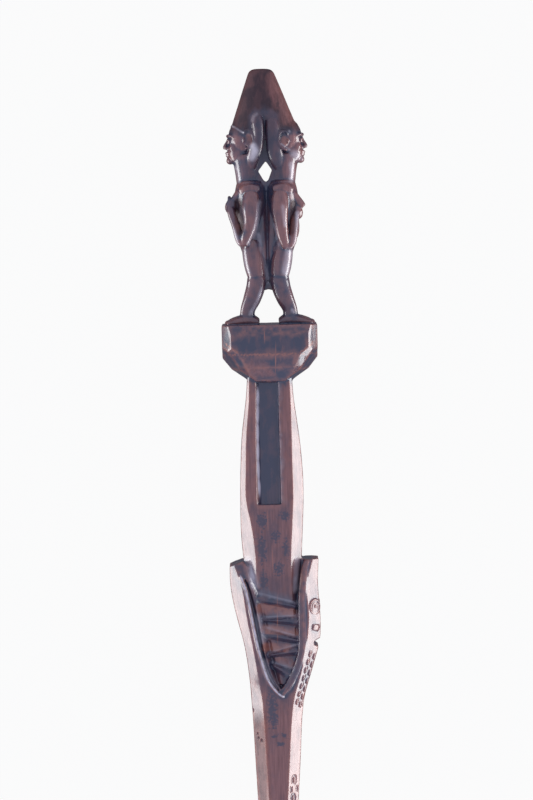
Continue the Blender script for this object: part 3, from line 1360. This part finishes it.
# %% [markdown]
# The gloss has two layers. A clear coat gives the sharp glints of the polish, over a softer gloss that is
# uneven with the clouds. Where the wood is dull, hardly any coat is left and the gloss is softer still. The
# grain and the pores lift the surface a little, which breaks the glints up.

# %% The gloss
GLOSS = 0.3
COAT = 0.85
GRAIN_LIFT = 0.12
roughness = maths("ADD", maths("MULTIPLY_ADD", clouds, 0.12, GLOSS), times(matt, 0.25))
links.new(roughness, shader.inputs["Roughness"])
links.new(maths("SUBTRACT", COAT, times(matt, 0.75)), shader.inputs["Coat Weight"])
shader.inputs["Coat IOR"].default_value = 1.6
shader.inputs["Coat Roughness"].default_value = 0.1
bump = nodes.new("ShaderNodeBump")
bump.inputs["Strength"].default_value = 0.35
bump.inputs["Distance"].default_value = GRAIN_LIFT * MM
pores = noise_mask(700, low=0.3, high=0.7)
links.new(maths("ADD", grain, times(pores, 0.6)), bump.inputs["Height"])
links.new(bump.outputs[0], shader.inputs["Normal"])
carving_mesh.materials.append(wood)
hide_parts("carved_wood_mace")
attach(mace, "root")
print("Wood with", len(nodes), "nodes")

# %% [markdown]
# The mace was photographed on a plain pale ground that shows no shadow. The floor here is lit from within,
# so that it stays as even, and it is left out of reflections, because the polish shows what stands round
# the mace instead.

# %% The floor
FLOOR_HALF = 15
FLOOR_TONE = 0.945
bm = bmesh.new()
bmesh.ops.create_grid(bm, x_segments=1, y_segments=1, size=FLOOR_HALF)
floor = shown("pale_floor", finished(bm, "pale_floor"))
lit = bpy.data.materials.new("pale_ground")
lit.use_nodes = True
ground = lit.node_tree.nodes["Principled BSDF"]
ground.inputs["Base Color"].default_value = (0.01, 0.01, 0.01, 1)
ground.inputs["Roughness"].default_value = 1
ground.inputs["Emission Color"].default_value = (FLOOR_TONE, FLOOR_TONE, FLOOR_TONE, 1)
ground.inputs["Emission Strength"].default_value = 1
floor.data.materials.append(lit)
floor.visible_glossy = False
floor.visible_shadow = False
print("Floor", 2 * FLOOR_HALF, "m wide")

# %% [markdown]
# Two long soft panels stand at the sides of the mace, so that its bevels shine white while its front stays
# dark. The left one is shorter and a little weaker, because the left bevels of the grip are greyer than the
# right ones.

# %% The lights
PANEL_GLOW = 7
PANEL_AWAY = 0.7
PANEL_TALL = 0.3


def panel(name, side, y, long, glow):
    """A soft light on one side of the mace, as low as the wood itself."""
    light = bpy.data.lights.new(name, "AREA")
    light.shape, light.size, light.size_y = "RECTANGLE", long, PANEL_TALL
    light.energy = glow * math.pi * long * PANEL_TALL
    obj = bpy.data.objects.new(name, light)
    obj.location = (side * PANEL_AWAY, y, 0.01)
    aim = (Vector((0, y, 0.02)) - obj.location).normalized()
    sideways = Vector((0, 1, 0))
    obj.rotation_euler = Matrix((sideways, sideways.cross(aim), -aim)).transposed().to_euler()
    obj.visible_camera = False
    bpy.context.scene.collection.objects.link(obj)


panel("right_panel", 1, -0.21, 1.08, PANEL_GLOW)
panel("left_panel", -1, -0.01, 0.68, PANEL_GLOW * 0.9)
print("Panels", PANEL_GLOW, "bright")

# %% [markdown]
# What the polish mirrors from all around is a cool, soft sky that fades to a dim ground. The camera itself
# sees the same pale tone as the floor behind it.

# %% The room
DIM_GROUND = (0.1, 0.1, 0.12, 1)
COOL_SKY = (0.6, 0.64, 0.82, 1)
BACKDROP = (0.94, 0.94, 0.94, 1)
world = bpy.data.worlds.new("pale_room")
bpy.context.scene.world = world
world.use_nodes = True
room = world.node_tree.nodes["Background"]
room_nodes, room_links = world.node_tree.nodes, world.node_tree.links
direction = room_nodes.new("ShaderNodeTexCoord").outputs["Generated"]
parts = room_nodes.new("ShaderNodeSeparateXYZ")
room_links.new(direction, parts.inputs[0])
above = room_nodes.new("ShaderNodeMapRange")
above.interpolation_type = "SMOOTHSTEP"
above.inputs["From Min"].default_value = -0.35
above.inputs["From Max"].default_value = 0.15
room_links.new(parts.outputs["Z"], above.inputs["Value"])
glow = room_nodes.new("ShaderNodeMix")
glow.data_type = "RGBA"
glow.inputs[6].default_value = DIM_GROUND
glow.inputs[7].default_value = COOL_SKY
room_links.new(above.outputs[0], glow.inputs["Factor"])
seen = room_nodes.new("ShaderNodeMix")
seen.data_type = "RGBA"
seen.inputs[7].default_value = BACKDROP
room_links.new(room_nodes.new("ShaderNodeLightPath").outputs["Is Camera Ray"], seen.inputs["Factor"])
room_links.new(glow.outputs[2], seen.inputs[6])
room_links.new(seen.outputs[2], room.inputs["Color"])
bpy.context.scene.view_settings.view_transform = "Standard"
print("Room set")

# %% [markdown]
# The camera hangs far above the lying mace with a long lens, so that hardly any perspective shows. It leans
# a little towards the cap, which is why the top of the bowl just shows, and it is turned by a little over a
# degree.

# %% The camera
AIM = Vector((-2.7, -44.4, 24))
DISTANCE = 2200
LEAN = math.radians(3.2)
ROLL = math.radians(1.334)
FRAME_HEIGHT = 475
camera_data = bpy.data.cameras.new("camera")
camera_data.lens = camera_data.sensor_width * DISTANCE / FRAME_HEIGHT
camera_data.clip_end = 100
camera = bpy.data.objects.new("camera", camera_data)
bpy.context.scene.collection.objects.link(camera)
turned = LAID_DOWN.to_3x3().normalized()
back = turned @ Vector((0, math.sin(LEAN), math.cos(LEAN)))
up = turned @ Vector((math.sin(ROLL), math.cos(ROLL), 0))
right = up.cross(back).normalized()
camera.matrix_world = Matrix.Translation(LAID_DOWN @ AIM + back * DISTANCE * MM) @ Matrix(
    (right, back.cross(right), back)).transposed().to_4x4()
bpy.context.scene.camera = camera
print("Camera at", [round(c, 3) for c in camera.location])
